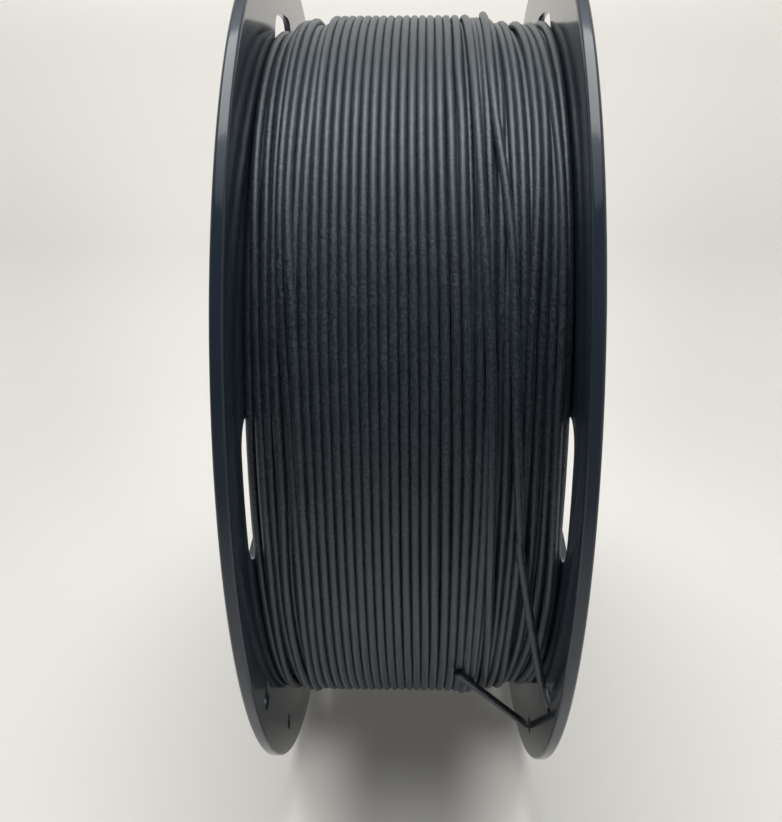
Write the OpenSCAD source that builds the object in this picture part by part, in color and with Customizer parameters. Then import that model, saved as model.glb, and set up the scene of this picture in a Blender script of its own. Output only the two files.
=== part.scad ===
// Filament spool, full, standing on its rims.
// The spool's axis lies along X, with the origin in the middle of the bore and +Z up.
// Angles round the axis are in degrees, from the front (-Y) upwards (+Z).

/* [Spool] */
// Diameter of both flanges
flange_d = 200; // [180:1:260]
// Width over the outer faces of the two rims
spool_w = 66; // [50:1:90]
// Thickness of a flange at its raised rim
rim_t = 2.6; // [2.2:0.1:3.4]
// Radial width of the raised rim
rim_band = 4; // [2:0.5:5]
// Thickness of a flange's web
web_t = 1.5; // [1.1:0.1:2]
// Bevel on the edges of the rim
rim_bevel = 0.4; // [0.2:0.1:0.8]

/* [Hub] */
// Diameter of the bore that the spindle goes through
bore_d = 54; // [40:1:60]
// Wall of the sleeve round the bore
sleeve_wall = 2.2; // [1.6:0.1:3]
// Radial width of the raised ring round the bore
hub_ring = 6; // [4:0.5:8]
// Gap between the ends of the two sleeves, in the middle
sleeve_gap = 0.4; // [0.2:0.1:2]
// Outer diameter of the barrel that the filament is wound on
barrel_d = 95; // [88:1:104]
// Wall of the barrel
barrel_wall = 2.2; // [1.8:0.1:3]
// Ribs between the sleeve and the spigot, on each flange
rib_count = 8; // [4:1:12]
// Thickness of a rib
rib_t = 1.6; // [1:0.1:2.4]
// Height of a rib above the web
rib_h = 9; // [4:0.5:14]

/* [Clips] */
// Radial play between the spigot and the barrel
spigot_play = 0.15; // [0.1:0.05:0.3]
// Wall of the spigot and its tongues
spigot_wall = 1.8; // [1.4:0.1:2.4]
// Height of the spigot above the web
spigot_h = 6; // [4:0.5:8]
// Clip tongues on each flange
tongue_count = 4; // [3:1:6]
// Width of a tongue
tongue_w = 12; // [8:0.5:14]
// How far a tongue reaches past its barb
tongue_past_barb = 1; // [0.8:0.1:4]
// How far the barb stands out of its tongue
barb_out = 1.4; // [0.8:0.1:1.8]
// Length of the barb, along the axis
barb_len = 3; // [2:0.1:3.4]
// How far a barb stops short of its tongue's sides
barb_inset = 0.8; // [0.4:0.1:1.5]
// Step between a tongue and the mould pin's opening in front of it
pin_step = 0.1; // [0.05:0.05:0.2]
// Distance from the web to the barb's catch
barb_from_web = 8; // [7:0.1:8.4]
// Play round a barb in the barrel's slot
slot_play = 0.3; // [0.2:0.05:0.6]

/* [Windows] */
// Windows in each flange
window_count = 4; // [3:1:6]
// Angle that a window covers
window_arc = 21; // [16:0.5:30]
// From the full winding's edge out to the windows' outer edge
window_over = 1.5; // [0.5:0.1:4]
// From the barrel out to the windows' inner edge
window_above_barrel = 5; // [3:0.5:12]
// Radius of a window's corners
window_corner = 6; // [3:0.5:7]

/* [Filament holes] */
// From the rim's edge in to the centres of the two holes
holes_from_edge = 8; // [7:0.5:9]
// Diameter of the larger hole
large_hole_d = 5.5; // [4.5:0.1:6]
// Diameter of the smaller hole
small_hole_d = 3.5; // [3:0.1:4]
// Angle of the larger hole
large_hole_angle = -33; // [-36:0.5:-30]
// Angle of the smaller hole
small_hole_angle = -57; // [-60:0.5:-54]

/* [Filament] */
// Diameter of the filament
strand_d = 1.75; // [1.6:0.05:1.9]
// From the rim's edge in to the crest of the outer layer
winding_from_edge = 15.2; // [13:0.1:20]
// Least gap between two turns of the outer layer
turn_gap = 0.6; // [0.5:0.05:1.2]
// How far the winding sits above the spool's axis
winding_lift = 1.1; // [0:0.1:1.5]
// From the left flange to the first turn's centre
first_turn = 2.7; // [2.6:0.1:4]
// From the right flange to the last turn's centre
last_turn = 1.5; // [1.4:0.1:3]
// How far the layer drops beside the left flange
left_drop = 5; // [0:0.5:6]
// Width of that drop
left_drop_w = 13; // [9:0.5:16]
// Depth of the dip in the right part of the layer
dip = 1.5; // [0:0.1:2.5]
// From the right flange to the middle of the dip
dip_from_right = 8.4; // [7:0.1:12]
// Half the width of the dip
dip_half_w = 6; // [5:0.5:8]
// Play between the inner layers and the spool
core_play = 0.3; // [0.2:0.05:0.6]
// Play between the outer layer and the layers under it
layer_play = 0.4; // [0.3:0.05:0.8]
// Play between the free end and what it lies on
free_play = 0.12; // [0.1:0.02:0.3]
// How far the free end bows out between the two holes
bow_out = 2.4; // [1.5:0.1:4]

/* [Hidden] */
$fn = 96;
eps = 0.01;

moulding_color = [0.07, 0.07, 0.08];
filament_color = [0.17, 0.18, 0.19];

flange_r = flange_d / 2;
half_gap = spool_w / 2 - rim_t;   // from the middle to a flange's inner face
bore_r = bore_d / 2;
barrel_r = barrel_d / 2;
barrel_in_r = barrel_r - barrel_wall;
spigot_r = barrel_in_r - spigot_play;
tongue_h = barb_from_web + barb_len + tongue_past_barb;
barb_sunk = 0.3;
winding_r = flange_r - winding_from_edge;
window_out_r = winding_r + window_over;
window_in_r = barrel_r + window_above_barrel;
hole_r = flange_r - holes_from_edge;
strand_r = strand_d / 2;

function unit(v) = v / norm(v);

// ---- Moulded parts ----
// A flange is drawn with its inner face at z = 0, its outer face up and its angles from +X.

module ring_2d(r_out, r_in) {
    difference() {
        circle(r = r_out);
        circle(r = r_in);
    }
}

function arc_points(centre, r, from, to, steps) =
    [for (i = [0:steps]) let (angle = from + (to - from) * i / steps) centre + r * [cos(angle), sin(angle)]];

// A window: a slice of a ring, with round corners
module window_2d() {
    half = window_arc / 2;
    r_out = window_out_r - window_corner;
    r_in = window_in_r + window_corner;
    turn_out = half - asin(window_corner / r_out);
    turn_in = half - asin(window_corner / r_in);
    corner_out = r_out * [cos(turn_out), sin(turn_out)];
    corner_in = r_in * [cos(turn_in), sin(turn_in)];
    upper = concat(
        arc_points([0, 0], window_out_r, 0, turn_out, 4),
        arc_points(corner_out, window_corner, turn_out + 10, half + 90, 8),
        arc_points(corner_in, window_corner, half + 90, turn_in + 170, 8),
        arc_points([0, 0], window_in_r, turn_in, 0, 2));
    lower = [for (i = [len(upper) - 2:-1:1]) [upper[i][0], -upper[i][1]]];
    polygon(concat(upper, lower));
}

// Half of the cross-section of a flange, with its raised rim, hub ring and sleeve
module flange_profile() {
    rim_in_r = flange_r - rim_band;
    sleeve_end = sleeve_gap / 2 - half_gap;
    polygon([
        [bore_r, sleeve_end], [bore_r + sleeve_wall, sleeve_end], [bore_r + sleeve_wall, 0],
        [flange_r - rim_bevel, 0], [flange_r, rim_bevel],
        [flange_r, rim_t - rim_bevel], [flange_r - rim_bevel, rim_t],
        [rim_in_r, rim_t], [rim_in_r, web_t],
        [bore_r + hub_ring, web_t], [bore_r + hub_ring, rim_t],
        [bore_r, rim_t]
    ]);
}

// Places its children on each of the clip tongues, which stand between the windows
module each_tongue() {
    for (i = [0:tongue_count - 1]) rotate([0, 0, (i + 0.5) * 360 / tongue_count]) children();
}

// Turns a cross-section round the axis, as wide as a barb
module barb_arc() {
    angle = 2 * asin((tongue_w / 2 - barb_inset) / spigot_r);
    rotate([0, 0, -angle / 2]) rotate_extrude(angle = angle) children();
}

// The ring that centres the barrel, with the clip tongues left standing out of it
module spigot() {
    difference() {
        translate([0, 0, -tongue_h]) linear_extrude(tongue_h + eps) ring_2d(spigot_r, spigot_r - spigot_wall);
        translate([0, 0, -tongue_h - 1]) linear_extrude(tongue_h - spigot_h + 1) difference() {
            circle(r = spigot_r + 1);
            each_tongue() translate([0, -tongue_w / 2]) square([2 * spigot_r, tongue_w]);
        }
    }
    // A barb's slope runs on into the tongue
    each_tongue() barb_arc() polygon([
        [spigot_r - barb_sunk, -barb_from_web], [spigot_r + barb_out, -barb_from_web],
        [spigot_r - barb_sunk, -barb_from_web - barb_len * (1 + barb_sunk / barb_out)]
    ]);
}

module ribs() {
    foot = bore_r + sleeve_wall / 2;
    for (i = [0:rib_count - 1]) rotate([0, 0, (i + 0.5) * 360 / rib_count])
        translate([foot, -rib_t / 2, -rib_h])
            cube([spigot_r - spigot_wall / 2 - foot, rib_t, rib_h + eps]);
}

module flange() {
    difference() {
        union() {
            rotate_extrude() flange_profile();
            spigot();
            ribs();
        }
        for (i = [0:window_count - 1]) rotate([0, 0, i * 360 / window_count])
            translate([0, 0, -1]) linear_extrude(rim_t + 2) window_2d();
        // The openings through the web that let a mould shape the barbs' catches
        each_tongue() barb_arc() translate([spigot_r + pin_step, -1]) square([barb_out, rim_t + 2]);
        rotate([0, 0, large_hole_angle]) translate([hole_r, 0, -1]) cylinder(d = large_hole_d, h = rim_t + 2);
        rotate([0, 0, small_hole_angle]) translate([hole_r, 0, -1]) cylinder(d = small_hole_d, h = rim_t + 2);
    }
}

module left_flange() {
    color(moulding_color) translate([-half_gap, 0, 0]) rotate([0, -90, 0]) rotate([0, 0, -90]) flange();
}

module right_flange() {
    color(moulding_color) mirror([1, 0, 0]) translate([-half_gap, 0, 0])
        rotate([0, -90, 0]) rotate([0, 0, -90]) flange();
}

module barrel() {
    slot_w = tongue_w + 2 * slot_play;
    slot_from_end = barb_from_web - slot_play;
    slot_len = barb_len + 2 * slot_play;
    color(moulding_color) rotate([0, 90, 0]) difference() {
        cylinder(r = barrel_r, h = 2 * half_gap, center = true);
        cylinder(r = barrel_in_r, h = 2 * half_gap + 1, center = true);
        for (end = [-1, 1], i = [0:tongue_count - 1])
            rotate([0, 0, (i + 0.5) * 360 / tongue_count])
                translate([barrel_in_r - 1, -slot_w / 2,
                           end * (half_gap - slot_from_end - slot_len / 2) - slot_len / 2])
                    cube([barrel_wall + 2, slot_w, slot_len]);
    }
}

// ---- Filament ----
// The outer layer's crest is level, but drops beside the left flange and dips near the right one.
rings_a_turn = 24;
layer_sides = 6;
free_sides = 8;
first_x = first_turn - half_gap;
last_x = half_gap - last_turn;
turns = floor((last_x - first_x) / (strand_d + turn_gap));
pitch = (last_x - first_x) / turns;
turn_r = winding_r - strand_r;    // radius of the outer turns' centres where the crest is level
drop_power = 2.7;

function drop_at(x) = left_drop * pow(max(0, left_drop_w - half_gap - x) / left_drop_w, drop_power);
function dip_at(x) =
    let (off = abs(x - half_gap + dip_from_right))
    off < dip_half_w ? dip * (1 + cos(180 * off / dip_half_w)) / 2 : 0;
function layer_r(x) = turn_r - drop_at(x) - dip_at(x);

function round_bore(x, r, angle) = [x, -r * cos(angle), r * sin(angle)];
function on_winding(x, r, angle) = round_bore(x, r, angle) + [0, 0, winding_lift];

// The direction of a path at one of its points
function heading(path, i) = unit(
    (i < len(path) - 1 ? unit(path[i + 1] - path[i]) : [0, 0, 0]) +
    (i > 0 ? unit(path[i] - path[i - 1]) : [0, 0, 0]));
function square_to(v, along) = unit(v - (v * along) * along);

// One closed tube along a path: a ring of corners at each point, joined by triangles
module tube(path, first_side, sides) {
    last = len(path) - 1;
    side = [for (i = 0, s = square_to(first_side, heading(path, 0)); i <= last;
                 i = i + 1, s = i <= last ? square_to(s, heading(path, i)) : s) s];
    corners = [for (i = [0:last], k = [0:sides - 1])
        path[i] + strand_r * (cos(360 * k / sides) * side[i] +
                              sin(360 * k / sides) * cross(heading(path, i), side[i]))];
    walls = [for (i = [0:last - 1], k = [0:sides - 1])
        let (a = i * sides + k, b = i * sides + (k + 1) % sides)
        each [[a, a + sides, b], [b, a + sides, b + sides]]];
    start_cap = [for (k = [1:sides - 2]) [0, k, k + 1]];
    end_cap = [for (k = [1:sides - 2]) last * sides * [1, 1, 1] + [0, k + 1, k]];
    polyhedron(corners, concat(walls, start_cap, end_cap));
}

// The inner layers, packed: a plain solid whose outline follows the outer layer, under the sag
// of its straight facets
core_x = half_gap - core_play;
core_steps = 24;
function core_corner(i) =
    let (x = core_x * (2 * i / core_steps - 1))
    [layer_r(x) * cos(180 / rings_a_turn) - strand_r - layer_play, x];

module winding_core() {
    outline = [for (i = [0:core_steps]) core_corner(i)];
    color(filament_color) difference() {
        translate([0, 0, winding_lift]) rotate([0, 90, 0]) rotate_extrude()
            polygon(concat([[0, -core_x]], outline, [[0, core_x]]));
        rotate([0, 90, 0]) cylinder(r = barrel_r + core_play, h = 2 * half_gap, center = true);
    }
}

// The outer layer: one strand that comes square out of the inner layers by the left flange and
// runs, its angle always falling, to the right one, where it goes straight into the free end.
// It starts and ends at the back.
back = 180;
start_facet = floor((first_x + core_x) / (2 * core_x) * core_steps);
facet_a = core_corner(start_facet);
facet_along = unit(core_corner(start_facet + 1) - facet_a);
facet_foot = facet_a + facet_along * (first_x - facet_a[1]) / facet_along[1];
facet_top = facet_foot + strand_d * [facet_along[1], -facet_along[0]];
layer_turns = [for (i = [1:turns * rings_a_turn])
    let (x = first_x + pitch * i / rings_a_turn)
    on_winding(x, layer_r(x), back - 360 * i / rings_a_turn)];
join = layer_turns[len(layer_turns) - 1] + [0, 0, strand_d];
layer_path = concat(
    [on_winding(facet_foot[1], facet_foot[0], back), on_winding(facet_top[1], facet_top[0], back)],
    layer_turns, [join]);

module winding_outer_layer() {
    color(filament_color) tube(layer_path, [1, 0, 0], layer_sides);
}

// The free end's route round the winding. Each point is its distance from the right flange, its
// height over the outer layer, in strand diameters, and its angle.
free_round_winding = [
    [1.5, 0.06, 177], [1.5, 0.3, 173], [1.6, 0.8, 167], [2, 1.05, 160], [3.4, 1.05, 150],
    [5.9, 1.05, 138], [8.6, 1.05, 125], [11.2, 1.05, 112], [13.2, 1.05, 100], [14.2, 1.05, 88],
    [14.3, 1.05, 75], [14, 1.05, 61], [13.4, 1.05, 49], [12.2, 1.05, 42], [11.5, 1.05, 36],
    [11.3, 1.05, 28], [10.9, 1.05, 18], [10.4, 1.05, 8], [10, 1.05, 0], [8.9, 1.05, -6],
    [6.9, 1.05, -13.5]
];
// Where the cut tip rests on the winding, given the same way
free_tip = [19.5, 0.95, -34];
ring_angle = 5;
ring_gap = 8;

// The smooth curve through a route's points, a share of the way from one point to the next
function along_route(p, i, share) =
    let (a = p[max(i - 1, 0)], b = p[i], c = p[i + 1], d = p[min(i + 2, len(p) - 1)])
    b + (c - a) * share / 2 + (2 * a - 5 * b + 4 * c - d) * pow(share, 2) / 2 +
    (3 * b - a - 3 * c + d) * pow(share, 3) / 2;
function over_winding(p) =
    let (x = half_gap - p[0])
    on_winding(x, layer_r(x) + p[1] * strand_d + free_play, p[2]);
// Points on a straight line, with the first and without the last
function straight(from, to) =
    let (n = ceil(norm(to - from) / ring_gap))
    [for (i = [0:n - 1]) from + (to - from) * i / n];

// The holes' centres, and the strand's way out through one and back in through the other
function hole_at(angle) = round_bore(half_gap + web_t / 2, hole_r, angle);
large_at = hole_at(large_hole_angle);
small_at = hole_at(small_hole_angle);
wound = [for (i = [0:len(free_round_winding) - 2])
    let (turned = free_round_winding[i][2] - free_round_winding[i + 1][2], n = ceil(turned / ring_angle))
    each [for (k = [0:n - 1]) over_winding(along_route(free_round_winding, i, k / n))]];
leaves_winding = over_winding(free_round_winding[len(free_round_winding) - 1]);
tip = over_winding(free_tip);
out_x = [1, 0, 0];
to_large = square_to(large_at - leaves_winding, out_x);
across = square_to(small_at - large_at, out_x);
to_tip = square_to(tip - small_at, out_x);
// It goes through the larger hole on a slant, from one side of the hole to the other, and is clear
// of the web by slant_past at both ends
slant_past = 1;
slant_aside = 2.2;
slant_x = web_t / 2 + slant_past;
slant_in = large_at - slant_x * out_x - slant_aside * to_large;
slant_out = large_at + slant_x * out_x + slant_aside * across;
// It goes through the smaller hole on an arc round the hole's edge
elbow_r = 1.8 * strand_d;
elbow_from = -50;
elbow_to = 64;
elbow_steps = 5;
elbow_play = 0.28;
elbow_aside = small_hole_d / 2 - strand_r - elbow_play;
function elbow(turned) =
    small_at - elbow_r * sin(turned) * out_x +
    (elbow_aside - elbow_r * (1 - cos(turned))) * (turned > 0 ? -to_tip : across);
// Between the holes it bows out
bow_steps = 8;
bow_start = slant_out;
bow_end = elbow(elbow_from);
bow = [for (i = [1:bow_steps - 1])
    let (share = i / bow_steps)
    bow_start + (bow_end - bow_start) * share +
    (bow_out - slant_past) * (1 - pow(abs(2 * share - 1), 3)) * out_x];
free_path = concat(
    [join, join + [0, 0, strand_d]], wound, straight(leaves_winding, slant_in), [slant_in, slant_out],
    bow, [for (i = [0:elbow_steps - 1]) elbow(elbow_from + (elbow_to - elbow_from) * i / elbow_steps)],
    straight(elbow(elbow_to), tip), [tip]);

module free_end() {
    color(filament_color) tube(free_path, [1, 0, 0], free_sides);
}

// The least gaps, measured at the paths' points: the outer layer to itself, from half a turn on, and
// the free end, once it lies over the layer, to the layer
half_turn = rings_a_turn / 2;
free_end_over = 10;
function from_line(p, a, b) =
    let (share = min(1, max(0, (p - a) * (b - a) / ((b - a) * (b - a)))))
    norm(p - a - share * (b - a));
echo(layer_gap = min([for (i = [0:len(layer_path) - 2 - half_turn])
    for (k = [i + half_turn:min(i + 2 * rings_a_turn, len(layer_path) - 2)])
        from_line(layer_path[i], layer_path[k], layer_path[k + 1])]) - strand_d);
echo(free_end_gap = min([for (i = [free_end_over:len(free_path) - 1], k = [0:len(layer_path) - 2])
    from_line(free_path[i], layer_path[k], layer_path[k + 1])]) - strand_d);
echo(turns = turns, free_end_rings = len(free_path));

left_flange();
right_flange();
barrel();
winding_core();
winding_outer_layer();
free_end();
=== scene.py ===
import math
import bpy
import numpy as np
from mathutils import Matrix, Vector


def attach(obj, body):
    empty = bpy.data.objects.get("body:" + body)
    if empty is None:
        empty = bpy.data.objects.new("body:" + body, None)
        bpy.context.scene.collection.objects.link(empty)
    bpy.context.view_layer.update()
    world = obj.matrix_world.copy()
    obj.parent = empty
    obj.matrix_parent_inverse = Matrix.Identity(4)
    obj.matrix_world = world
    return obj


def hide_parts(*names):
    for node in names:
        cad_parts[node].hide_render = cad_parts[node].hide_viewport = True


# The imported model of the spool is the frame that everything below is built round. X is the
# spool's axis, Z is up, and the camera's side is -Y. Sizes in the sections are in millimetres.
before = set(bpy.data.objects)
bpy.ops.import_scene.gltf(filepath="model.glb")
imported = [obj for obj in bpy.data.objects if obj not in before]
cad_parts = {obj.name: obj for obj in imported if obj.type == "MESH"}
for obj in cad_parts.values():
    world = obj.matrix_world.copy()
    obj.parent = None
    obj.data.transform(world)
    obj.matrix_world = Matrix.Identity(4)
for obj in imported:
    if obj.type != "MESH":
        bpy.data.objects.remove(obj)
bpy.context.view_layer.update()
MM = 0.001
scene = bpy.context.scene
scene.view_settings.view_transform = "Standard"

# ---- Camera, floor and light ----
# The camera looks down on the spool from the front, level with the top of the rims.
# Picture width in pixels over the focal length in pixels gives the lens.
picture_w, picture_h = 782, 822
focal, centre_row = 962.28, 491.68
camera_data = bpy.data.cameras.new("camera")
camera_data.sensor_fit = "HORIZONTAL"
camera_data.sensor_width = 36
camera_data.lens = focal / picture_w * camera_data.sensor_width
camera_data.shift_y = (centre_row - picture_h / 2) / picture_w
camera_data.clip_start = 0.01
camera = bpy.data.objects.new("camera", camera_data)
camera.location = Vector((2.38, -250.0, 74.05)) * MM
camera.rotation_euler = [math.radians(a) for a in (66.393, 0.312, 1.730)]
scene.collection.objects.link(camera)
scene.camera = camera


def material_named(name):
    """A new material, its node tree's builder and its shader."""
    material = bpy.data.materials.new(name)
    material.use_nodes = True
    tree = material.node_tree
    shader = tree.nodes["Principled BSDF"]

    def add(kind, **inputs):
        node = tree.nodes.new(kind)
        for key, value in inputs.items():
            put(node, key, value)
        return node

    def put(node, key, value):
        socket = node.inputs[int(key[1:])] if key[0] == "_" else node.inputs[key.replace("_", " ")]
        if isinstance(value, bpy.types.NodeSocket):
            tree.links.new(value, socket)
        else:
            socket.default_value = value

    return material, add, put, shader


def only_selected(ob):
    bpy.ops.object.select_all(action="DESELECT")
    ob.select_set(True)
    bpy.context.view_layer.objects.active = ob


def outline_object(name, corners):
    """A closed outline: a circle primitive with as many corners, each moved to its place."""
    bpy.ops.object.select_all(action="DESELECT")
    bpy.ops.mesh.primitive_circle_add(vertices=len(corners), radius=0.01)
    ob = bpy.context.object
    ob.name = ob.data.name = name
    for vertex, corner in zip(ob.data.vertices, corners):
        vertex.co = Vector(corner) * MM
    return ob


def spin_outline(ob, steps, axis, angle=2 * math.pi):
    """Spins an outline round an axis through the origin into a closed surface."""
    only_selected(ob)
    bpy.ops.object.mode_set(mode="EDIT")
    bpy.ops.mesh.select_all(action="SELECT")
    bpy.ops.mesh.spin(steps=steps, angle=angle, center=(0, 0, 0), axis=axis)
    bpy.ops.mesh.select_all(action="SELECT")
    bpy.ops.mesh.remove_doubles(threshold=0.000002)
    bpy.ops.mesh.normals_make_consistent(inside=False)
    bpy.ops.object.mode_set(mode="OBJECT")
    return ob


# A white sweep: a round floor that curves up to a wall all the way round.
floor_z = -100
floor_r, sweep_r, wall_top = 1000, 800, 2600
sweep_line = [(0, 0, floor_z), (300, 0, floor_z), (floor_r, 0, floor_z)]
for k in range(1, 17):
    a = math.radians(90 * k / 16)
    sweep_line.append((floor_r + sweep_r * math.sin(a), 0, floor_z + sweep_r * (1 - math.cos(a))))
sweep_line.append((floor_r + sweep_r, 0, wall_top))
sweep = outline_object("sweep", sweep_line)
only_selected(sweep)
bpy.ops.object.mode_set(mode="EDIT")
bpy.ops.mesh.select_all(action="DESELECT")
bpy.ops.object.mode_set(mode="OBJECT")
for edge in sweep.data.edges:
    edge.select = set(edge.vertices) == {0, len(sweep_line) - 1}
bpy.ops.object.mode_set(mode="EDIT")
bpy.ops.mesh.select_mode(type="EDGE")
bpy.ops.mesh.delete(type="EDGE")
bpy.ops.mesh.select_mode(type="VERT")
bpy.ops.object.mode_set(mode="OBJECT")
spin_outline(sweep, 96, (0, 0, 1))
bpy.ops.object.shade_smooth()

# It glows: most on the wall behind the spool, in a fan on the floor behind it, and on the wall to
# its right. Its front half is darker to the lights, but not to the eye.
white, add, put, shader = material_named("sweep_white")
put(shader, "Roughness", 0.8)
put(shader, "Specular_IOR_Level", 0.2)
put(shader, "Emission_Color", (1.0, 0.975, 0.91, 1))
place = add("ShaderNodeSeparateXYZ", Vector=add("ShaderNodeTexCoord").outputs["Object"])


def ramp(value, low, high, start, end, kind="SMOOTHSTEP"):
    """A rise from start to end while the value goes from low to high, smooth unless kind says not."""
    node = add("ShaderNodeMapRange", Value=value)
    node.interpolation_type = kind
    for key, number in (("From Min", low), ("From Max", high), ("To Min", start), ("To Max", end)):
        node.inputs[key].default_value = number
    return node.outputs["Result"]


def math_node(operation, a, b):
    node = add("ShaderNodeMath", _0=a, _1=b)
    node.operation = operation
    return node.outputs[0]


def two_colours(share, first, second):
    node = add("ShaderNodeMix")
    node.data_type = "RGBA"
    put(node, "_0", share)
    put(node, "_6", first)
    put(node, "_7", second)
    return node.outputs[2]


rise = ramp(place.outputs["Z"], -0.1, 0.45, 0, 1)
behind = ramp(place.outputs["Y"], -1.1, 0.4, 0, 1)
to_right = ramp(place.outputs["X"], 0.3, 1.1, 0, 1)
front_wall = math_node("MULTIPLY", rise, math_node("SUBTRACT", 1.0, behind))
front_floor = math_node("MULTIPLY", ramp(place.outputs["Y"], -0.50, -0.16, 0.75, 0),
                        math_node("SUBTRACT", 1.0, rise))
dim = math_node("ADD", front_wall, front_floor)
front_colour = two_colours(to_right, (0.10, 0.10, 0.105, 1), (0.50, 0.50, 0.50, 1))
put(shader, "Base_Color", two_colours(dim, (0.66, 0.638, 0.612, 1), front_colour))
glow = math_node("ADD", ramp(place.outputs["Y"], 0.65, 1.8, 0, 0.28),
                 math_node("MULTIPLY", behind, ramp(place.outputs["Z"], 0.1, 0.45, 0, 0.38)))
fan_reach = math_node("ADD", math_node("MAXIMUM", place.outputs["Y"], 0.0), 0.25)
fan = math_node("DIVIDE", place.outputs["X"], fan_reach)
fan = math_node("ABSOLUTE", math_node("ADD", fan, 0.05), 0.0)
fan_glow = math_node("MULTIPLY", ramp(fan, 0.15, 0.37, 0.10, 0), ramp(place.outputs["Y"], 0.08, 0.26, 0, 1))
fan_glow = math_node("MULTIPLY", fan_glow, ramp(place.outputs["Y"], 0.9, 1.5, 1, 0.4))
right_glow = math_node("MULTIPLY", ramp(place.outputs["X"], 0.5, 1.2, 0, 0.30),
                       ramp(place.outputs["Y"], -1.3, -0.5, 0, 1))
right_glow = math_node("MULTIPLY", right_glow, math_node("SUBTRACT", 1.0, behind))
glow = math_node("ADD", glow, math_node("ADD", fan_glow, right_glow))
# Painted light on the floor: it glows a little round the spool and more between the rims in front of it, most
# beside them. This lifts the spool's shadow there.
from_middle = math_node("ABSOLUTE", place.outputs["X"], 0.0)
from_axle = math_node("ABSOLUTE", place.outputs["Y"], 0.0)
near = math_node("MULTIPLY", ramp(from_middle, 0.05, 0.25, 0.14, 0), ramp(from_axle, 0.05, 0.30, 1, 0))
between = math_node("MULTIPLY", ramp(from_middle, 0.028, 0.0335, 1, 0), ramp(from_axle, 0.075, 0.11, 1, 0))
beside_rim = math_node("MULTIPLY", ramp(from_middle, 0.008, 0.028, 0, 0.23),
                       ramp(place.outputs["Y"], -0.045, -0.015, 1, 0))
in_front = ramp(place.outputs["Y"], -0.080, -0.028, 0.17, 0.07)
under = math_node("ADD", beside_rim, in_front)
painted_floor_light = math_node("ADD", math_node("MULTIPLY", near, math_node("SUBTRACT", 1.0, between)),
                  math_node("MULTIPLY", under, between))
painted_floor_light = math_node("MULTIPLY", painted_floor_light, math_node("LESS_THAN", place.outputs["Z"], -0.09))
# Only the eye and reflections see the glow, so it puts no light on the spool. On the spool it shows only as
# painted reflections, such as the highlights on the strands' right sides from the glow on the wall to its
# right.
ray = add("ShaderNodeLightPath").outputs
seen = math_node("MAXIMUM", ray["Is Camera Ray"], ray["Is Glossy Ray"])
seen = math_node("MAXIMUM", seen, ray["Is Transmission Ray"])
evened = math_node("MULTIPLY", math_node("MULTIPLY", dim, 0.5), ray["Is Camera Ray"])
# Painted reflection: a patch of floor before the spool glows for reflections only, so the winding's lower
# front shows a paler reflection of it.
painted_reflection_patch = math_node("MULTIPLY", ramp(place.outputs["Y"], -0.30, -0.15, 0, 0.22),
                  ramp(place.outputs["Y"], -0.09, -0.07, 1, 0))
painted_reflection_patch = math_node("MULTIPLY", painted_reflection_patch,
                  math_node("MULTIPLY", ramp(from_middle, 0.1, 0.3, 1, 0), ray["Is Glossy Ray"]))
put(shader, "Emission_Strength", math_node("ADD", math_node("MULTIPLY", math_node("ADD", glow, painted_floor_light), seen),
                                           math_node("ADD", evened, painted_reflection_patch)))
sweep.data.materials.append(white)

# One large soft panel overhead, a little behind the spool, and a dim room above.
panel_data = bpy.data.lights.new("overhead_panel", "AREA")
panel_data.shape = "RECTANGLE"
panel_data.size = 1.50
panel_data.size_y = 1.03
panel_data.energy = 22
panel_data.color = (1.0, 0.99, 0.95)
panel = bpy.data.objects.new("overhead_panel", panel_data)
panel.location = (-0.05, 0.032, 1.80)
scene.collection.objects.link(panel)
world = bpy.data.worlds.new("room")
scene.world = world
world.use_nodes = True
sky = world.node_tree
background = sky.nodes["Background"]
background.inputs["Color"].default_value = (0.93, 0.97, 1.0, 1)
split = sky.nodes.new("ShaderNodeSeparateXYZ")
overhead = sky.nodes.new("ShaderNodeMapRange")
overhead.interpolation_type = "SMOOTHSTEP"
for key, number in (("From Min", 0.74), ("From Max", 0.97), ("To Min", 0.3), ("To Max", 1.9)):
    overhead.inputs[key].default_value = number
sky.links.new(sky.nodes.new("ShaderNodeTexCoord").outputs["Generated"], split.inputs[0])
sky.links.new(split.outputs["Z"], overhead.inputs["Value"])
sky.links.new(overhead.outputs["Result"], background.inputs["Strength"])

# ---- Moulded plastic ----
# Glossy black injection-moulded plastic, used for both flanges and the barrel. It comes shiny
# from the mould, with faint flow marks and slightly uneven gloss.
moulding, add, put, shader = material_named("glossy_black_plastic")
place = add("ShaderNodeTexCoord").outputs["Object"]
flow = add("ShaderNodeTexNoise", Vector=place, Scale=22.0, Detail=3.0, Roughness=0.5)
fine = add("ShaderNodeTexNoise", Vector=place, Scale=900.0, Detail=2.0, Roughness=0.6)
near_black = two_colours(flow.outputs["Fac"], (0.023, 0.034, 0.052, 1), (0.027, 0.038, 0.056, 1))
put(shader, "Base_Color", near_black)
put(shader, "Roughness", ramp(fine.outputs["Fac"], 0.3, 0.8, 0.09, 0.17, "LINEAR"))
ripple = add("ShaderNodeBump", Height=flow.outputs["Fac"], Strength=0.25, Distance=0.0004)
# Fine lines run round the rims, where the mould was turned.
across_rim = add("ShaderNodeMapping", Vector=place, Scale=(1.0, 0.02, 0.02))
turned = add("ShaderNodeTexNoise", Vector=across_rim.outputs["Vector"], Scale=1300.0, Detail=2.0,
             Roughness=0.5)
lines = add("ShaderNodeBump", Height=turned.outputs["Fac"], Normal=ripple.outputs["Normal"],
            Strength=0.35, Distance=0.00005)
put(shader, "Normal", lines.outputs["Normal"])
put(shader, "IOR", 1.44)

# ---- Barrel ----
# A moulded tube between the flanges, under the filament. The flanges' clips snap into the slots
# near its ends.
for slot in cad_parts["barrel"].material_slots:
    slot.material = moulding

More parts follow.
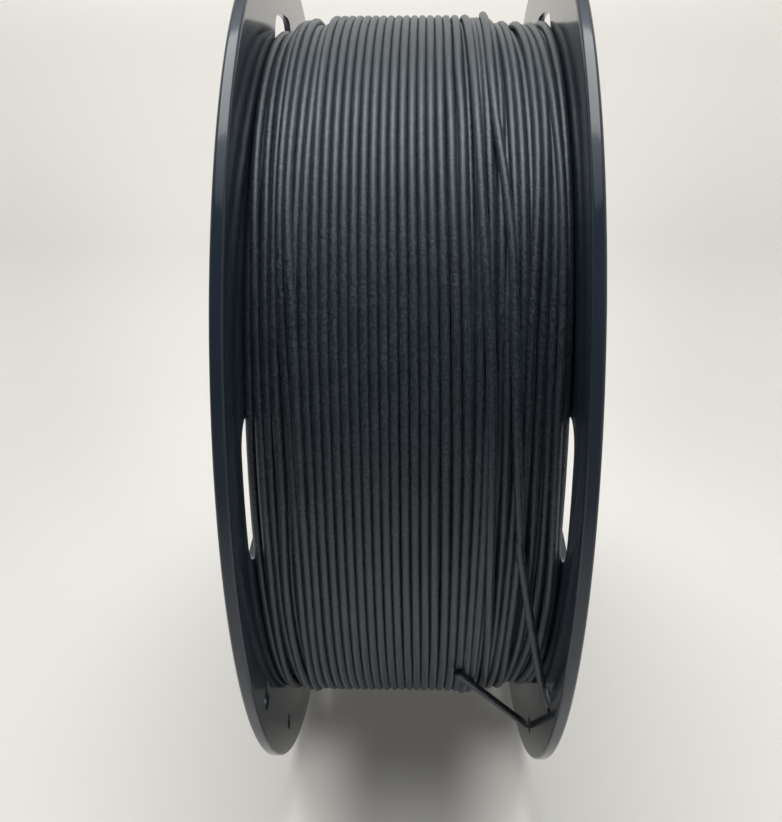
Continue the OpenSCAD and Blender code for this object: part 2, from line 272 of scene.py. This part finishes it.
# ---- Flanges ----
# Two thin moulded discs with a thicker rim, four windows, two holes for the filament's end and,
# inside the hub, half of the bore's sleeve, ribs, and a ring with four snap tongues.
flange_r, rim_t, rim_band, web_t, rim_round = 100, 2.6, 4, 1.5, 0.7
inner_x = 30.4
bore_r, sleeve_wall, hub_ring, sleeve_gap = 27, 2.2, 6, 0.4
spigot_r, spigot_wall, spigot_h = 45.15, 1.8, 6
tongue_h, tongue_w = 12, 12
barb_out, barb_len, barb_from_web, pin_step = 1.4, 3, 8, 0.1
rib_t, rib_h = 1.6, 9
window_in_r, window_out_r, window_half, window_corner = 52.5, 86.3, 10.5, 6
hole_r = 92
holes = [(-33, 5.5), (-57, 3.5)]
hole_sides = 32
lip = 0.4
clip_angles = (45, 135, 225, 315)
barb_inset, barb_sunk = 0.8, 0.3
rib_count, rib_round = 8, 0.2
edge_round = 0.22
flange_steps = 288
past = 1    # how far a punch reaches past the faces that it cuts


def round_axis(x, r, angle):
    """A point at a radius from the axis, at an angle up from the camera's side."""
    a = math.radians(angle)
    return Vector((x, -r * math.cos(a), r * math.sin(a)))


def rounded(corners, radius, steps):
    """An outline with its corners cut to arcs; corners is a list of (x, r, is it rounded)."""
    out = []
    for k, (x, r, soft) in enumerate(corners):
        here = Vector((x, r))
        if not soft:
            out.append(here)
            continue
        back = (Vector(corners[k - 1][:2]) - here).normalized()
        on = (Vector(corners[(k + 1) % len(corners)][:2]) - here).normalized()
        centre = here + (back + on) * radius
        support = 0.5 * radius
        out.append(here + back * (radius + support))
        for j in range(steps + 1):
            a = math.pi / 2 * j / steps
            out.append(centre - on * radius * math.cos(a) - back * radius * math.sin(a))
        out.append(here + on * (radius + support))
    return out


def cut(ob, cutter):
    """Takes the cutter's shape out of the object."""
    only_selected(ob)
    boolean = ob.modifiers.new("cut", "BOOLEAN")
    boolean.operation = "DIFFERENCE"
    boolean.solver = "EXACT"
    boolean.object = cutter
    bpy.ops.object.modifier_apply(modifier="cut")
    bpy.data.objects.remove(cutter)


def punch(name, corners, x_from, x_to):
    """A solid through the web with an outline of corners at x_from."""
    ob = outline_object(name, corners)
    only_selected(ob)
    bpy.ops.object.mode_set(mode="EDIT")
    bpy.ops.mesh.select_all(action="SELECT")
    bpy.ops.mesh.edge_face_add()
    bpy.ops.mesh.extrude_region_move(TRANSFORM_OT_translate={"value": ((x_to - x_from) * MM, 0, 0)})
    bpy.ops.mesh.select_all(action="SELECT")
    bpy.ops.mesh.normals_make_consistent(inside=False)
    bpy.ops.object.mode_set(mode="OBJECT")
    return ob


def window_corners(x, middle):
    """A slice of a ring with round corners, round its middle angle."""
    half = math.radians(window_half)
    r_out, r_in = window_out_r - window_corner, window_in_r + window_corner
    turn_out = half - math.asin(window_corner / r_out)
    turn_in = half - math.asin(window_corner / r_in)
    upper = [(window_out_r, turn_out * k / 6) for k in range(7)]

    def corner(r, turn, start, end):
        for k in range(1, 10):
            a = start + (end - start) * k / 9
            p = Vector((r * math.cos(turn) + window_corner * math.cos(a),
                        r * math.sin(turn) + window_corner * math.sin(a)))
            upper.append((p.length, math.atan2(p.y, p.x)))

    corner(r_out, turn_out, turn_out, half + math.pi / 2)
    corner(r_in, turn_in, half + math.pi / 2, turn_in + math.pi)
    upper += [(window_in_r, turn_in * k / 3) for k in (2, 1, 0)]
    whole = upper + [(r, -a) for r, a in reversed(upper[1:-1])]
    return [round_axis(x, r, middle + math.degrees(a)) for r, a in whole]


rim_in_r = flange_r - rim_band
outer_x, web_x = inner_x + rim_t, inner_x + web_t
# Its facets start a little off the windows' middles, so that no edge of the disc lies on an edge
# of a window, which would leave a gap in the mesh.
seam_angle = 0.73
disc = outline_object("left_flange_moulding", [round_axis(-p.x, p.y, seam_angle) for p in rounded([
    (sleeve_gap / 2, bore_r, False), (sleeve_gap / 2, bore_r + sleeve_wall, False),
    (inner_x, bore_r + sleeve_wall, False),
    (inner_x, flange_r, True), (outer_x, flange_r, True), (outer_x, rim_in_r, True),
    (web_x, rim_in_r, False), (web_x, bore_r + hub_ring, False),
    (outer_x, bore_r + hub_ring, True), (outer_x, bore_r, True),
], rim_round, 6)])
spin_outline(disc, flange_steps, (1, 0, 0))
for middle in (0, 90, 180, 270):
    window = window_corners(-outer_x - past, middle)
    cut(disc, punch("window_punch", window, -outer_x - past, -inner_x + past))
for angle, size in holes:
    # Straight through, and flared at both faces.
    middle = round_axis(0, hole_r, angle)
    straight_r, flared_r = size / 2, size / 2 + 2 * lip
    turns = [2 * math.pi * k / hole_sides for k in range(hole_sides)]
    pin = outline_object("hole_punch", [
        middle + Vector((-web_x - lip, flared_r * math.cos(t), flared_r * math.sin(t))) for t in turns])
    only_selected(pin)
    bpy.ops.object.mode_set(mode="EDIT")
    bpy.ops.mesh.select_all(action="SELECT")
    bpy.ops.mesh.edge_face_add()
    for x_step, scale in ((2 * lip, straight_r / flared_r), (web_t - 2 * lip, 1),
                          (2 * lip, flared_r / straight_r)):
        bpy.ops.mesh.extrude_region_move(TRANSFORM_OT_translate={"value": (x_step * MM, 0, 0)})
        bpy.ops.transform.resize(value=(1, scale, scale), center_override=middle * MM)
    bpy.ops.mesh.select_all(action="SELECT")
    bpy.ops.mesh.normals_make_consistent(inside=False)
    bpy.ops.object.mode_set(mode="OBJECT")
    cut(disc, pin)
barb_half = math.degrees(math.asin((tongue_w / 2 - barb_inset) / spigot_r))
for middle in clip_angles:
    spread = [middle + barb_half * k / 3 for k in range(-3, 4)]
    catch = [round_axis(-outer_x - past, spigot_r + pin_step, a) for a in spread]
    catch += [round_axis(-outer_x - past, spigot_r + pin_step + barb_out, a) for a in reversed(spread)]
    cut(disc, punch("catch_punch", catch, -outer_x - past, -inner_x + past))


def bevel_edges(ob, width):
    only_selected(ob)
    bevel = ob.modifiers.new("edges", "BEVEL")
    bevel.width = width * MM
    bevel.segments = 2
    bevel.limit_method = "ANGLE"
    bevel.angle_limit = math.radians(50)
    bpy.ops.object.modifier_apply(modifier="edges")


bevel_edges(disc, edge_round)

# The ring that centres the barrel, with its tongues and their barbs, and the ribs.
spigot = outline_object("spigot", [(x, r, 0) for x, r in (
    (-inner_x, -spigot_r), (-inner_x, -spigot_r + spigot_wall),
    (-inner_x + spigot_h, -spigot_r + spigot_wall), (-inner_x + spigot_h, -spigot_r))])
spin_outline(spigot, 96, (1, 0, 0))
hub_pieces = [spigot]
tongue_half = math.degrees(math.asin(tongue_w / 2 / spigot_r))
for middle in clip_angles:
    for half, profile in (
        (tongue_half, [(0, spigot_r - spigot_wall), (tongue_h, spigot_r - spigot_wall),
                       (tongue_h, spigot_r), (0, spigot_r)]),
        (barb_half, [(barb_from_web, spigot_r - barb_sunk), (barb_from_web + barb_len, spigot_r - barb_sunk),
                     (barb_from_web, spigot_r + barb_out)]),
    ):
        tongue = outline_object("tongue", [round_axis(-inner_x + x, r, middle - half) for x, r in profile])
        only_selected(tongue)
        bpy.ops.object.mode_set(mode="EDIT")
        bpy.ops.mesh.select_all(action="SELECT")
        bpy.ops.mesh.edge_face_add()
        bpy.ops.mesh.spin(steps=6, angle=math.radians(2 * half), center=(0, 0, 0), axis=(-1, 0, 0))
        bpy.ops.mesh.select_all(action="SELECT")
        bpy.ops.mesh.normals_make_consistent(inside=False)
        bpy.ops.object.mode_set(mode="OBJECT")
        hub_pieces.append(tongue)
rib_foot, rib_end = bore_r + sleeve_wall / 2, spigot_r - spigot_wall / 2
for k in range(rib_count):
    rib_angle = (k + 0.5) * 360 / rib_count
    bpy.ops.object.select_all(action="DESELECT")
    bpy.ops.mesh.primitive_cube_add(size=1)
    rib = bpy.context.object
    rib.scale = (rib_h * MM, (rib_end - rib_foot) * MM, rib_t * MM)
    rib.rotation_euler = (-math.radians(rib_angle), 0, 0)
    rib.location = round_axis(-inner_x + rib_h / 2, (rib_foot + rib_end) / 2, rib_angle) * MM
    bpy.ops.object.transform_apply(location=True, rotation=True, scale=True)
    bevel_edges(rib, rib_round)
    hub_pieces.append(rib)


def joined(ob, others):
    only_selected(ob)
    for other in others:
        other.select_set(True)
    bpy.ops.object.join()
    bpy.ops.object.shade_smooth_by_angle(angle=math.radians(20))
    return ob


joined(disc, hub_pieces)
disc.data.materials.clear()
disc.data.materials.append(moulding)

# The right flange is the same moulding, mirrored.
only_selected(disc)
bpy.ops.object.duplicate()
mirrored = bpy.context.object
mirrored.name = mirrored.data.name = "right_flange_moulding"
mirrored.scale = (-1, 1, 1)
bpy.ops.object.transform_apply(location=False, rotation=False, scale=True)
bpy.ops.object.mode_set(mode="EDIT")
bpy.ops.mesh.select_all(action="SELECT")
bpy.ops.mesh.flip_normals()
bpy.ops.object.mode_set(mode="OBJECT")
for piece, node in ((disc, "left_flange"), (mirrored, "right_flange")):
    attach(piece, "root")
    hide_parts(node)

# ---- Filament ----
# One strand of charcoal plastic, 1.75 mm in diameter, drawn through a die. Its satin surface
# shows a fine matt speckle, stronger in some places than in others.
strand_d = 1.75
strand_r = strand_d / 2
filament, add, put, shader = material_named("charcoal_filament")
place = add("ShaderNodeTexCoord").outputs["Object"]
speckle = add("ShaderNodeTexNoise", Vector=place, Scale=2000.0, Detail=2.0, Roughness=0.65)
patches = add("ShaderNodeTexNoise", Vector=place, Scale=160.0, Detail=3.0, Roughness=0.55)
dots = ramp(speckle.outputs["Fac"], 0.44, 0.60, 0, 1, "LINEAR")
pale_share = math_node("MULTIPLY", dots, patches.outputs["Fac"])
put(shader, "Base_Color", two_colours(pale_share, (0.013, 0.020, 0.030, 1), (0.078, 0.096, 0.118, 1)))
put(shader, "Roughness", ramp(speckle.outputs["Fac"], 0.3, 0.7, 0.30, 0.54, "LINEAR"))
grain = add("ShaderNodeBump", Height=speckle.outputs["Fac"], Strength=0.8, Distance=0.0001)
put(shader, "Normal", grain.outputs["Normal"])
put(shader, "IOR", 1.55)
put(shader, "Specular_Tint", (0.88, 0.97, 1.0, 1))
put(shader, "Sheen_Weight", 0.08)
put(shader, "Sheen_Roughness", 0.35)
put(shader, "Sheen_Tint", (0.8, 0.9, 1.0, 1))

# ---- Wound filament: the layers' shape ----
# The filament is wound in about twenty layers. The top one is level across the middle, falls away
# beside the left flange and dips near the right one, more above than below.
winding_lift = 1.1
crest_r = 83.9
layer_x = [-29.4, -27.6, -26.1, -24.7, -22.3, -17.5, 12.5, 15, 18.5, 21.7, 24, 29.5]
top_fall = [3.1, 3.2, 2.6, 1.5, 0.5, 0, 0, 1.6, 1.7, 2.9, 2.3, 1.0]
front_fall = [2.5, 1.8, 1.3, 0.9, 0.4, 0, 0, 0.6, 1.2, 2.0, 1.8, 1.0]
low_fall = [0.9, 0.8, 0.7, 0.4, 0.1, 0, 0, 0.6, 1.4, 1.9, 2.1, 1.6]


def layer_r(x, angle):
    """The radius of the top layer's centres, from how far it falls at the top, the front and below."""
    up = np.sin(np.radians(angle))
    top, front, low = (np.interp(x, layer_x, fall) for fall in (top_fall, front_fall, low_fall))
    above, below = np.clip(up, 0, 1) ** 2, np.clip(-up / 0.82, 0, 1)
    return crest_r - top * above - low * below - front * (1 - above - below)


def on_winding(x, r, angle):
    """Points of the winding, which lies a little high on the barrel, in metres."""
    a = np.radians(angle)
    return np.stack([x + 0 * a, -r * np.cos(a), r * np.sin(a) + winding_lift], -1) * MM


# ---- Wound filament: inner layers ----
# Packed turns down to the barrel. Their sides, seen through the windows, show one ring for each
# layer, and every second layer lies half a turn further in.
core_bore = 47.8
layer_step = 1.52
ridge_pitch = 1.82
core_drop = 1.75
side_x, side_inset = 29.2, 0.9
side_half, top_half = 58, 60    # half the arc that each ring shows, in degrees
bends_from = 60                 # the radius from which the layers take on the top layer's shape
lift_reach = 8

layers = int((crest_r - core_drop - core_bore) / layer_step)
side_rows = [(core_bore + strand_r + layer_step * k, side_x - (side_inset if k % 2 else 0))
             for k in range(layers)]
top_xs = ridge_pitch * np.arange(-16, 17)
core_corners = []
for r, x in side_rows:
    for k in range(6):
        a = math.radians(side_half - 2 * side_half * k / 5)
        core_corners.append((-x - strand_r * math.cos(a), r - strand_r * math.sin(a)))
for x in top_xs:
    for k in range(5):
        a = math.radians(-top_half + 2 * top_half * k / 4)
        core_corners.append((x + strand_r * math.sin(a), crest_r - core_drop + strand_r * math.cos(a)))
for r, x in reversed(side_rows):
    for k in range(6):
        a = math.radians(-side_half + 2 * side_half * k / 5)
        core_corners.append((x + strand_r * math.cos(a), r - strand_r * math.sin(a)))
core_corners += [(28.0, core_bore), (-28.0, core_bore)]
core = outline_object("winding_inner_layers", [(x, -r, 0) for x, r in core_corners])
spin_outline(core, 120, (1, 0, 0))
co = np.empty(len(core.data.vertices) * 3)
core.data.vertices.foreach_get("co", co)
co = co.reshape(-1, 3) / MM
angle = np.degrees(np.arctan2(co[:, 2], -co[:, 1]))
r = np.hypot(co[:, 1], co[:, 2])
share = np.clip((r - bends_from) / (crest_r - bends_from), 0, 1)
r = r + share * (layer_r(co[:, 0], angle) - crest_r)
lift = np.clip((r - core_bore) / lift_reach, 0, 1) * winding_lift
co = np.stack([co[:, 0], -r * np.cos(np.radians(angle)), r * np.sin(np.radians(angle)) + lift], -1) * MM
core.data.vertices.foreach_set("co", co.ravel())
core.data.update()
only_selected(core)
bpy.ops.object.shade_smooth()
core.data.materials.append(filament)
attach(core, "root")
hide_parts("winding_core")

# ---- Wound filament: outer turns ----
# One strand from the left flange to the right one. Most turns lie side by side, about 1.82 mm apart;
# by the flanges they wander, sink between their neighbours and ride over each other.
# Each pass over the front is (how late it was laid, how far it sinks, its x at falling angles);
# a third number at an angle is how far it sinks there.
low_point = -100
left_passes = [
    (0, 0, [(85, -29.4, 2.0), (60, -29.4, 1.8), (45, -29.5, 1.2), (30, -29.5, 0.3), (20, -29.5),
            (-50, -29.5)]),
    (1, 0, [(80, -29.5), (60, -29.5), (45, -29.2), (35, -28.65), (20, -27.95), (10, -27.6), (0, -27.45),
            (-10, -27.4), (-20, -27.7), (-30, -28.0), (-45, -28.2)]),
    (0, 0, [(80, -27.4), (60, -27.4), (45, -27.05), (35, -26.5), (20, -26.2), (10, -25.85), (0, -25.95),
            (-10, -25.85), (-20, -26.15), (-30, -25.95), (-44, -25.5)]),
    (1, 0, [(80, -25.3), (60, -25.4), (45, -25.2), (35, -24.95), (20, -24.5), (10, -24.25), (0, -23.75),
            (-10, -24.4), (-20, -24.75), (-30, -24.6), (-45, -24.4)]),
    (0, 1.5, [(80, -23.3), (30, -23.3), (10, -22.9), (0, -22.45), (-10, -23.05), (-18, -23.45),
            (-45, -23.4)]),
    (2, 0, [(80, -24.0), (45, -24.0), (35, -23.8), (28, -23.3), (20, -22.8), (13, -22.1), (5, -21.6),
            (0, -21.4), (-10, -21.6), (-20, -21.85), (-30, -22.1), (-40, -22.45), (-48, -22.8)]),
    (3, 0, [(80, -22.1), (60, -22.3), (45, -22.45), (35, -22.3), (30, -21.75), (20, -20.85), (10, -20.3),
            (0, -20.0), (-15, -19.95), (-25, -20.25), (-35, -20.6), (-45, -20.95)]),
    (0, 0.3, [(85, -20.6, 2.3), (75, -20.5, 1.3), (60, -20.5), (45, -20.7), (27, -20.85), (10, -20.85, 1.5),
            (-45, -20.8, 1.75)]),
    (1, 0, [(85, -19.2, 2.2), (70, -18.9, 1.2), (62, -18.8, 0.3), (45, -19.05), (35, -19.15), (20, -18.9),
            (10, -18.55), (0, -18.1), (-10, -18.25), (-20, -18.45), (-30, -18.7), (-45, -18.9)]),
]
# Four of the fourteen even turns, counted from the left; the others lie evenly between them.
even_turns = [
    (0, [(85, -17.3), (60, -17.55), (45, -17.4), (30, -17.2), (20, -17.05), (10, -16.7), (0, -16.5),
            (-15, -16.5), (-30, -16.75), (-44, -16.8)]),
    (8, [(85, -3.1), (60, -3.25), (45, -3.2), (30, -2.8), (15, -2.45), (0, -2.25), (-10, -2.2), (-25, -2.0),
            (-44, -1.75)]),
    (12, [(85, 4.0), (60, 3.9), (45, 4.0), (30, 4.5), (15, 5.0), (0, 5.2), (-15, 5.5), (-25, 5.75),
            (-44, 5.75)]),
    (13, [(85, 5.8), (60, 5.7), (45, 5.85), (30, 6.4), (15, 6.95), (0, 7.3), (-15, 7.65), (-30, 7.8),
            (-44, 7.65)]),
]
right_passes = [
    (1, 0, [(80, 7.6), (60, 7.5), (50, 7.85), (40, 7.95), (30, 8.45), (20, 8.85), (10, 9.1), (5, 9.35),
            (-10, 9.5), (-25, 9.6), (-45, 9.7)]),
    (1, 0, [(80, 9.6), (60, 9.45), (50, 9.95), (35, 10.05), (30, 10.4), (20, 10.85), (10, 11.25),
            (0, 11.35), (-20, 11.35), (-30, 11.45), (-45, 11.7)]),
    (0, 1.5, [(75, 10.95), (55, 11.3), (40, 11.5), (28, 11.8), (-45, 12.3)]),
    (5, 0, [(85, 11.8), (65, 12.25), (50, 12.75), (40, 13.15), (30, 13.75), (20, 14.95), (10, 15.5),
            (0, 15.85), (-10, 16.2), (-20, 16.75), (-30, 17.25), (-45, 17.6)]),
    (1, 0, [(80, 13.3), (60, 13.55), (45, 13.4), (33, 13.0), (25, 13.1), (15, 13.35), (5, 13.35),
            (-15, 13.15), (-38, 13.1)]),
    (1, 0, [(80, 14.65), (60, 14.7), (40, 15.0), (32, 15.2), (15, 15.0), (-3, 14.8), (-15, 14.7),
            (-42, 14.6)]),
    (0, 1.5, [(85, 16.0, 0.3), (70, 15.9, 0.5), (60, 15.9), (47, 16.1), (36, 16.1), (-45, 16.3)]),
    (1, 0, [(76, 17.2), (60, 17.45), (55, 17.6), (40, 17.0), (30, 17.0), (20, 16.95), (3, 17.1, 0),
            (-8, 16.5, 0.8), (-17, 15.75, 1.0), (-42, 15.6, 1.0)]),
    (2, 0, [(85, 18.1, 1.5), (72, 18.2, 1.2), (64, 18.4, 1.2), (45, 18.4, 1.2), (38, 18.2, 0.6), (25, 18.1),
            (12, 18.1), (5, 18.3), (-10, 18.5), (-35, 18.4), (-42, 18.2)]),
    (1, 0, [(85, 18.9, 0.3), (78, 18.9), (60, 19.5), (50, 19.5), (33, 19.7), (15, 19.65, 0.4),
            (5, 19.6, 0.9), (-10, 19.4, 1.3), (-45, 19.2, 1.3)]),
    (2, 0, [(80, 20.4), (68, 20.7), (60, 20.9), (50, 21.2), (30, 21.1), (20, 20.9), (10, 20.4), (-5, 20.3),
            (-20, 20.05), (-30, 19.9), (-43, 19.6)]),
    (0, 0.2, [(80, 21.9), (65, 22.7), (45, 22.9), (34, 22.8), (-45, 21.6)]),
    (2, 0, [(80, 23.6), (68, 24.2), (50, 24.2), (40, 23.95), (30, 23.1), (20, 22.35), (5, 22.05),
            (-10, 21.8), (-20, 21.6), (-30, 21.45), (-45, 21.9)]),
    (1, 0, [(80, 25.1), (70, 25.7), (60, 25.9), (50, 25.8), (40, 25.5), (30, 25.1), (20, 24.5), (10, 24.2),
            (0, 24.1), (-10, 24.4), (-30, 24.1), (-43, 23.4)]),
    (0, 0.3, [(85, 26.6, 1.6), (62, 27.0, 1.2), (52, 27.2), (40, 27.2), (30, 27.0), (20, 26.4), (10, 26.25),
            (0, 26.4), (-15, 26.6), (-30, 26.4), (-41, 25.3)]),
    (1, 0, [(84, 26.7), (76, 26.9), (68, 27.3), (60, 27.45), (50, 27.75), (40, 28.2), (20, 28.15),
            (12, 27.8), (0, 27.9), (-5, 28.05), (-10, 28.4), (-20, 28.5), (-35, 28.3), (-44, 27.5)]),
    (0, 0, [(85, 29.4, 0.3), (40, 29.4, 0.3), (30, 29.3, 0.5), (20, 29.2, 0.8), (10, 29.1, 1.0),
            (-8, 29.1, 1.0), (-14, 29.4, 0.6), (-50, 29.5, 0.5)]),
]


def route_x(route, angle):
    return float(np.interp(-angle, [-a for a, x in route], [x for a, x in route]))


guide_at = [k for k, route in even_turns]
even_angles = range(88, -51, -6)
even_passes = [(1, 0, [(a, float(np.interp(k, guide_at, [route_x(route, a) for j, route in even_turns])))
                       for a in even_angles]) for k in range(guide_at[-1] + 1)]
passes = left_passes + even_passes + right_passes

samples = 120
turn_angles = low_point + 360 - 360 / samples * np.arange(samples)
knots, knot_x, knot_sink = [], [], []
for k, (_, sink, route) in enumerate(passes):
    for a, x, *sink_here in route:
        knots.append(360 * k + low_point + 360 - a)
        knot_x.append(x)
        knot_sink.append(sink_here[0] if sink_here else sink)
along = np.arange(len(passes) * samples) * 360 / samples


def softened(values, reach):
    """Values along the strand, averaged over a reach of so many degrees."""
    steps = int(3 * reach * samples / 360) + 1
    weight = np.exp(-0.5 * (np.arange(-steps, steps + 1) * 360 / samples / reach) ** 2)
    padded = np.pad(values, steps, mode="edge")
    return np.convolve(padded, weight / weight.sum(), mode="valid")


turn_x = softened(np.interp(along, knots, knot_x), 3).reshape(-1, samples)
sinking = softened(np.interp(along, knots, knot_sink), 3).reshape(-1, samples)
height = layer_r(turn_x, turn_angles[None, :]) - sinking
# At each angle the passes are laid from the most sunken to the last one, each on those below it.
# The later a turn was laid, the further it may stand out; the winding's pull presses it down to that.
contact = 1.6
press, press_late = 0.5, 0.3
# Behind the spool, where the strand goes on to its next turn, a pass that crosses others rides over them.
ride_over, back_from, back_to = 2.4, 100, 250
for i in range(samples):
    laid = []
    for k in sorted(range(len(passes)), key=lambda k: (-round(sinking[k, i], 1), passes[k][0])):
        for j in laid:
            apart = abs(turn_x[k, i] - turn_x[j, i])
            if apart < contact:
                height[k, i] = max(height[k, i], height[j, i] + math.sqrt(contact ** 2 - apart ** 2))
        round_back = np.clip((turn_angles[i] - back_from) / (back_to - back_from), 0, 1)
        at_back = math.sin(math.pi * round_back) ** 0.5
        most = layer_r(turn_x[k, i], turn_angles[i]) + press + press_late * passes[k][0] + ride_over * at_back
        height[k, i] = min(height[k, i], most)
        laid.append(k)
flat = height.ravel()
wide = np.max([np.roll(flat, s) for s in (-1, 0, 1)], axis=0)
strand_height = softened(wide, 4)


def strand(name, points, sides, thickness=strand_d):
    """A round strand along points in metres, as a mesh."""
    curve = bpy.data.curves.new(name, "CURVE")
    curve.dimensions = "3D"
    curve.bevel_depth = thickness / 2 * MM
    curve.bevel_resolution = sides // 2 - 2
    curve.use_fill_caps = True
    spline = curve.splines.new("POLY")
    spline.points.add(len(points) - 1)
    spline.points.foreach_set("co", np.c_[points, np.ones(len(points))].ravel())
    spline.use_smooth = True
    ob = bpy.data.objects.new(name, curve)
    scene.collection.objects.link(ob)
    only_selected(ob)
    bpy.ops.object.convert(target="MESH")
    ob = bpy.context.object
    bpy.ops.object.mode_set(mode="EDIT")
    bpy.ops.mesh.select_all(action="SELECT")
    bpy.ops.mesh.remove_doubles(threshold=0.000001)
    bpy.ops.mesh.normals_make_consistent(inside=False)
    bpy.ops.object.mode_set(mode="OBJECT")
    bpy.ops.object.shade_smooth()
    ob.data.materials.clear()
    ob.data.materials.append(filament)
    return ob


all_angles = low_point + 360 - along
pressed_d = 1.83    # the strand as wide as the turns' distance, where the winding presses it flat
turn_sides = 10
turns_line = on_winding(turn_x.ravel(), strand_height, all_angles)
turns = strand("winding_outer_turns", turns_line, turn_sides, pressed_d)
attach(turns, "root")
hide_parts("winding_outer_layer")

# ---- Free end of the filament ----
# The strand's loose end crosses the winding to the right, goes out through the larger hole near
# the rim and back in through the smaller one, and its cut tip rests on the winding.
end_angles = np.arange(178, -13.9, -2)    # from behind the spool to where it leaves the winding
end_route = [(178, 29.0), (167, 28.8), (160, 28.4), (150, 27.0), (138, 24.5), (125, 21.8), (112, 19.2),
             (100, 17.2), (88, 16.0), (80, 15.8), (60, 15.75), (55, 15.95), (50, 16.3), (45, 16.9),
             (40, 17.7), (35, 18.4), (30, 18.9), (20, 19.4), (15, 19.7), (10, 20.0), (5, 20.45), (0, 20.9),
             (-5, 21.6), (-10, 22.3), (-14, 23.2)]
end_x = np.interp(-end_angles, [-a for a, x in end_route], [x for a, x in end_route])
end_h = np.zeros(len(end_angles))
for k in range(len(passes)):
    here = (low_point + 360 - end_angles) % 360 + 360 * k
    x = np.interp(here, along, turn_x.ravel())
    h = np.interp(here, along, strand_height)
    apart = np.abs(end_x - x)
    resting = h + np.sqrt(np.clip(strand_d ** 2 - apart ** 2, 0, None))
    end_h = np.where(apart < strand_d, np.maximum(end_h, resting), end_h)
# Its height is evened out along it, and behind the spool it rises out of the turns.
even_reach, even_width = 8, 3.0
even_weight = np.exp(-0.5 * (np.arange(-even_reach, even_reach + 1) / even_width) ** 2)
end_h = np.convolve(np.pad(end_h, even_reach, mode="edge"), even_weight / even_weight.sum(), mode="valid")
risen_at, end_rise = 170, 0.9
rising = (end_angles[0] - end_angles) / (end_angles[0] - risen_at) * end_rise
end_h = np.where(end_angles > risen_at, crest_r + rising, end_h)
over = on_winding(end_x, end_h, end_angles) / MM


def hole_at(angle):
    return np.array(round_axis(inner_x + web_t / 2, hole_r, angle))


def unit(v):
    return v / np.linalg.norm(v)


out_x = np.array([1.0, 0, 0])


def square_to_axis(v):
    return unit(v - v[0] * out_x)


large_at, small_at = (hole_at(angle) for angle, size in holes)
tip_from_flange, tip_angle = 19.5, -35.4
tip_over, tip_play = 0.95 * strand_d, 0.12
tip = on_winding(np.array(inner_x - tip_from_flange), np.array(crest_r + tip_over + tip_play),
                 np.array(tip_angle)) / MM
to_large = square_to_axis(large_at - over[-1])
across = square_to_axis(small_at - large_at)
to_tip = square_to_axis(tip - small_at)
# It goes through the larger hole on a slant, from one side of the hole to the other.
slant_x, slant_aside, slant_share = web_t / 2 + 1, 2.2, 0.6
slant_in = large_at - slant_x * out_x - slant_aside * to_large * slant_share
slant_out = large_at + slant_x * out_x + slant_aside * across * slant_share
# It bows out between the holes, and bends back in round the edge of the smaller one.
small_size = holes[1][1]
elbow_play = 0.28
elbow_r, elbow_aside = 1.3 * strand_d, small_size / 2 - strand_r - elbow_play
elbow_from, elbow_turn, elbow_steps = -50, 114, 5
bow_out, bow_steps, tip_steps = 1.4, 8, 8


def elbow(turned):
    """A point of the bend through the smaller hole, by how far the strand has turned."""
    side = -to_tip if turned > 0 else across
    aside = elbow_aside - elbow_r * (1 - math.cos(turned))
    return small_at - elbow_r * math.sin(turned) * out_x + aside * side


rest_of_end = [slant_in, slant_out]
bow_end = elbow(math.radians(elbow_from))
for k in range(1, bow_steps):
    share = k / bow_steps
    bowed = bow_out * (1 - abs(2 * share - 1) ** 3) * out_x
    rest_of_end.append(slant_out + (bow_end - slant_out) * share + bowed)
rest_of_end += [elbow(math.radians(elbow_from + elbow_turn * k / elbow_steps))
                for k in range(elbow_steps + 1)]
start = rest_of_end[-1]
rest_of_end += [start + (tip - start) * k / tip_steps for k in range(1, tip_steps + 1)]
control = np.array(list(over[::2]) + rest_of_end)


def smooth_line(points, step):
    """A smooth curve through points, with a point every so many millimetres."""
    ends = np.vstack([2 * points[0] - points[1], points, 2 * points[-1] - points[-2]])
    out = []
    for k in range(1, len(ends) - 2):
        a, b, c, d = ends[k - 1:k + 3]
        n = max(1, int(np.linalg.norm(c - b) / step))
        for s in np.arange(n) / n:
            out.append(b + (c - a) * s / 2 + (2 * a - 5 * b + 4 * c - d) * s * s / 2
                       + (3 * b - a - 3 * c + d) * s ** 3 / 2)
    out.append(points[-1])
    return np.array(out)


end_point_step, end_sides = 0.9, 16
loose = strand("free_end_strand", smooth_line(control, end_point_step) * MM, end_sides)
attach(loose, "root")
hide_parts("free_end")
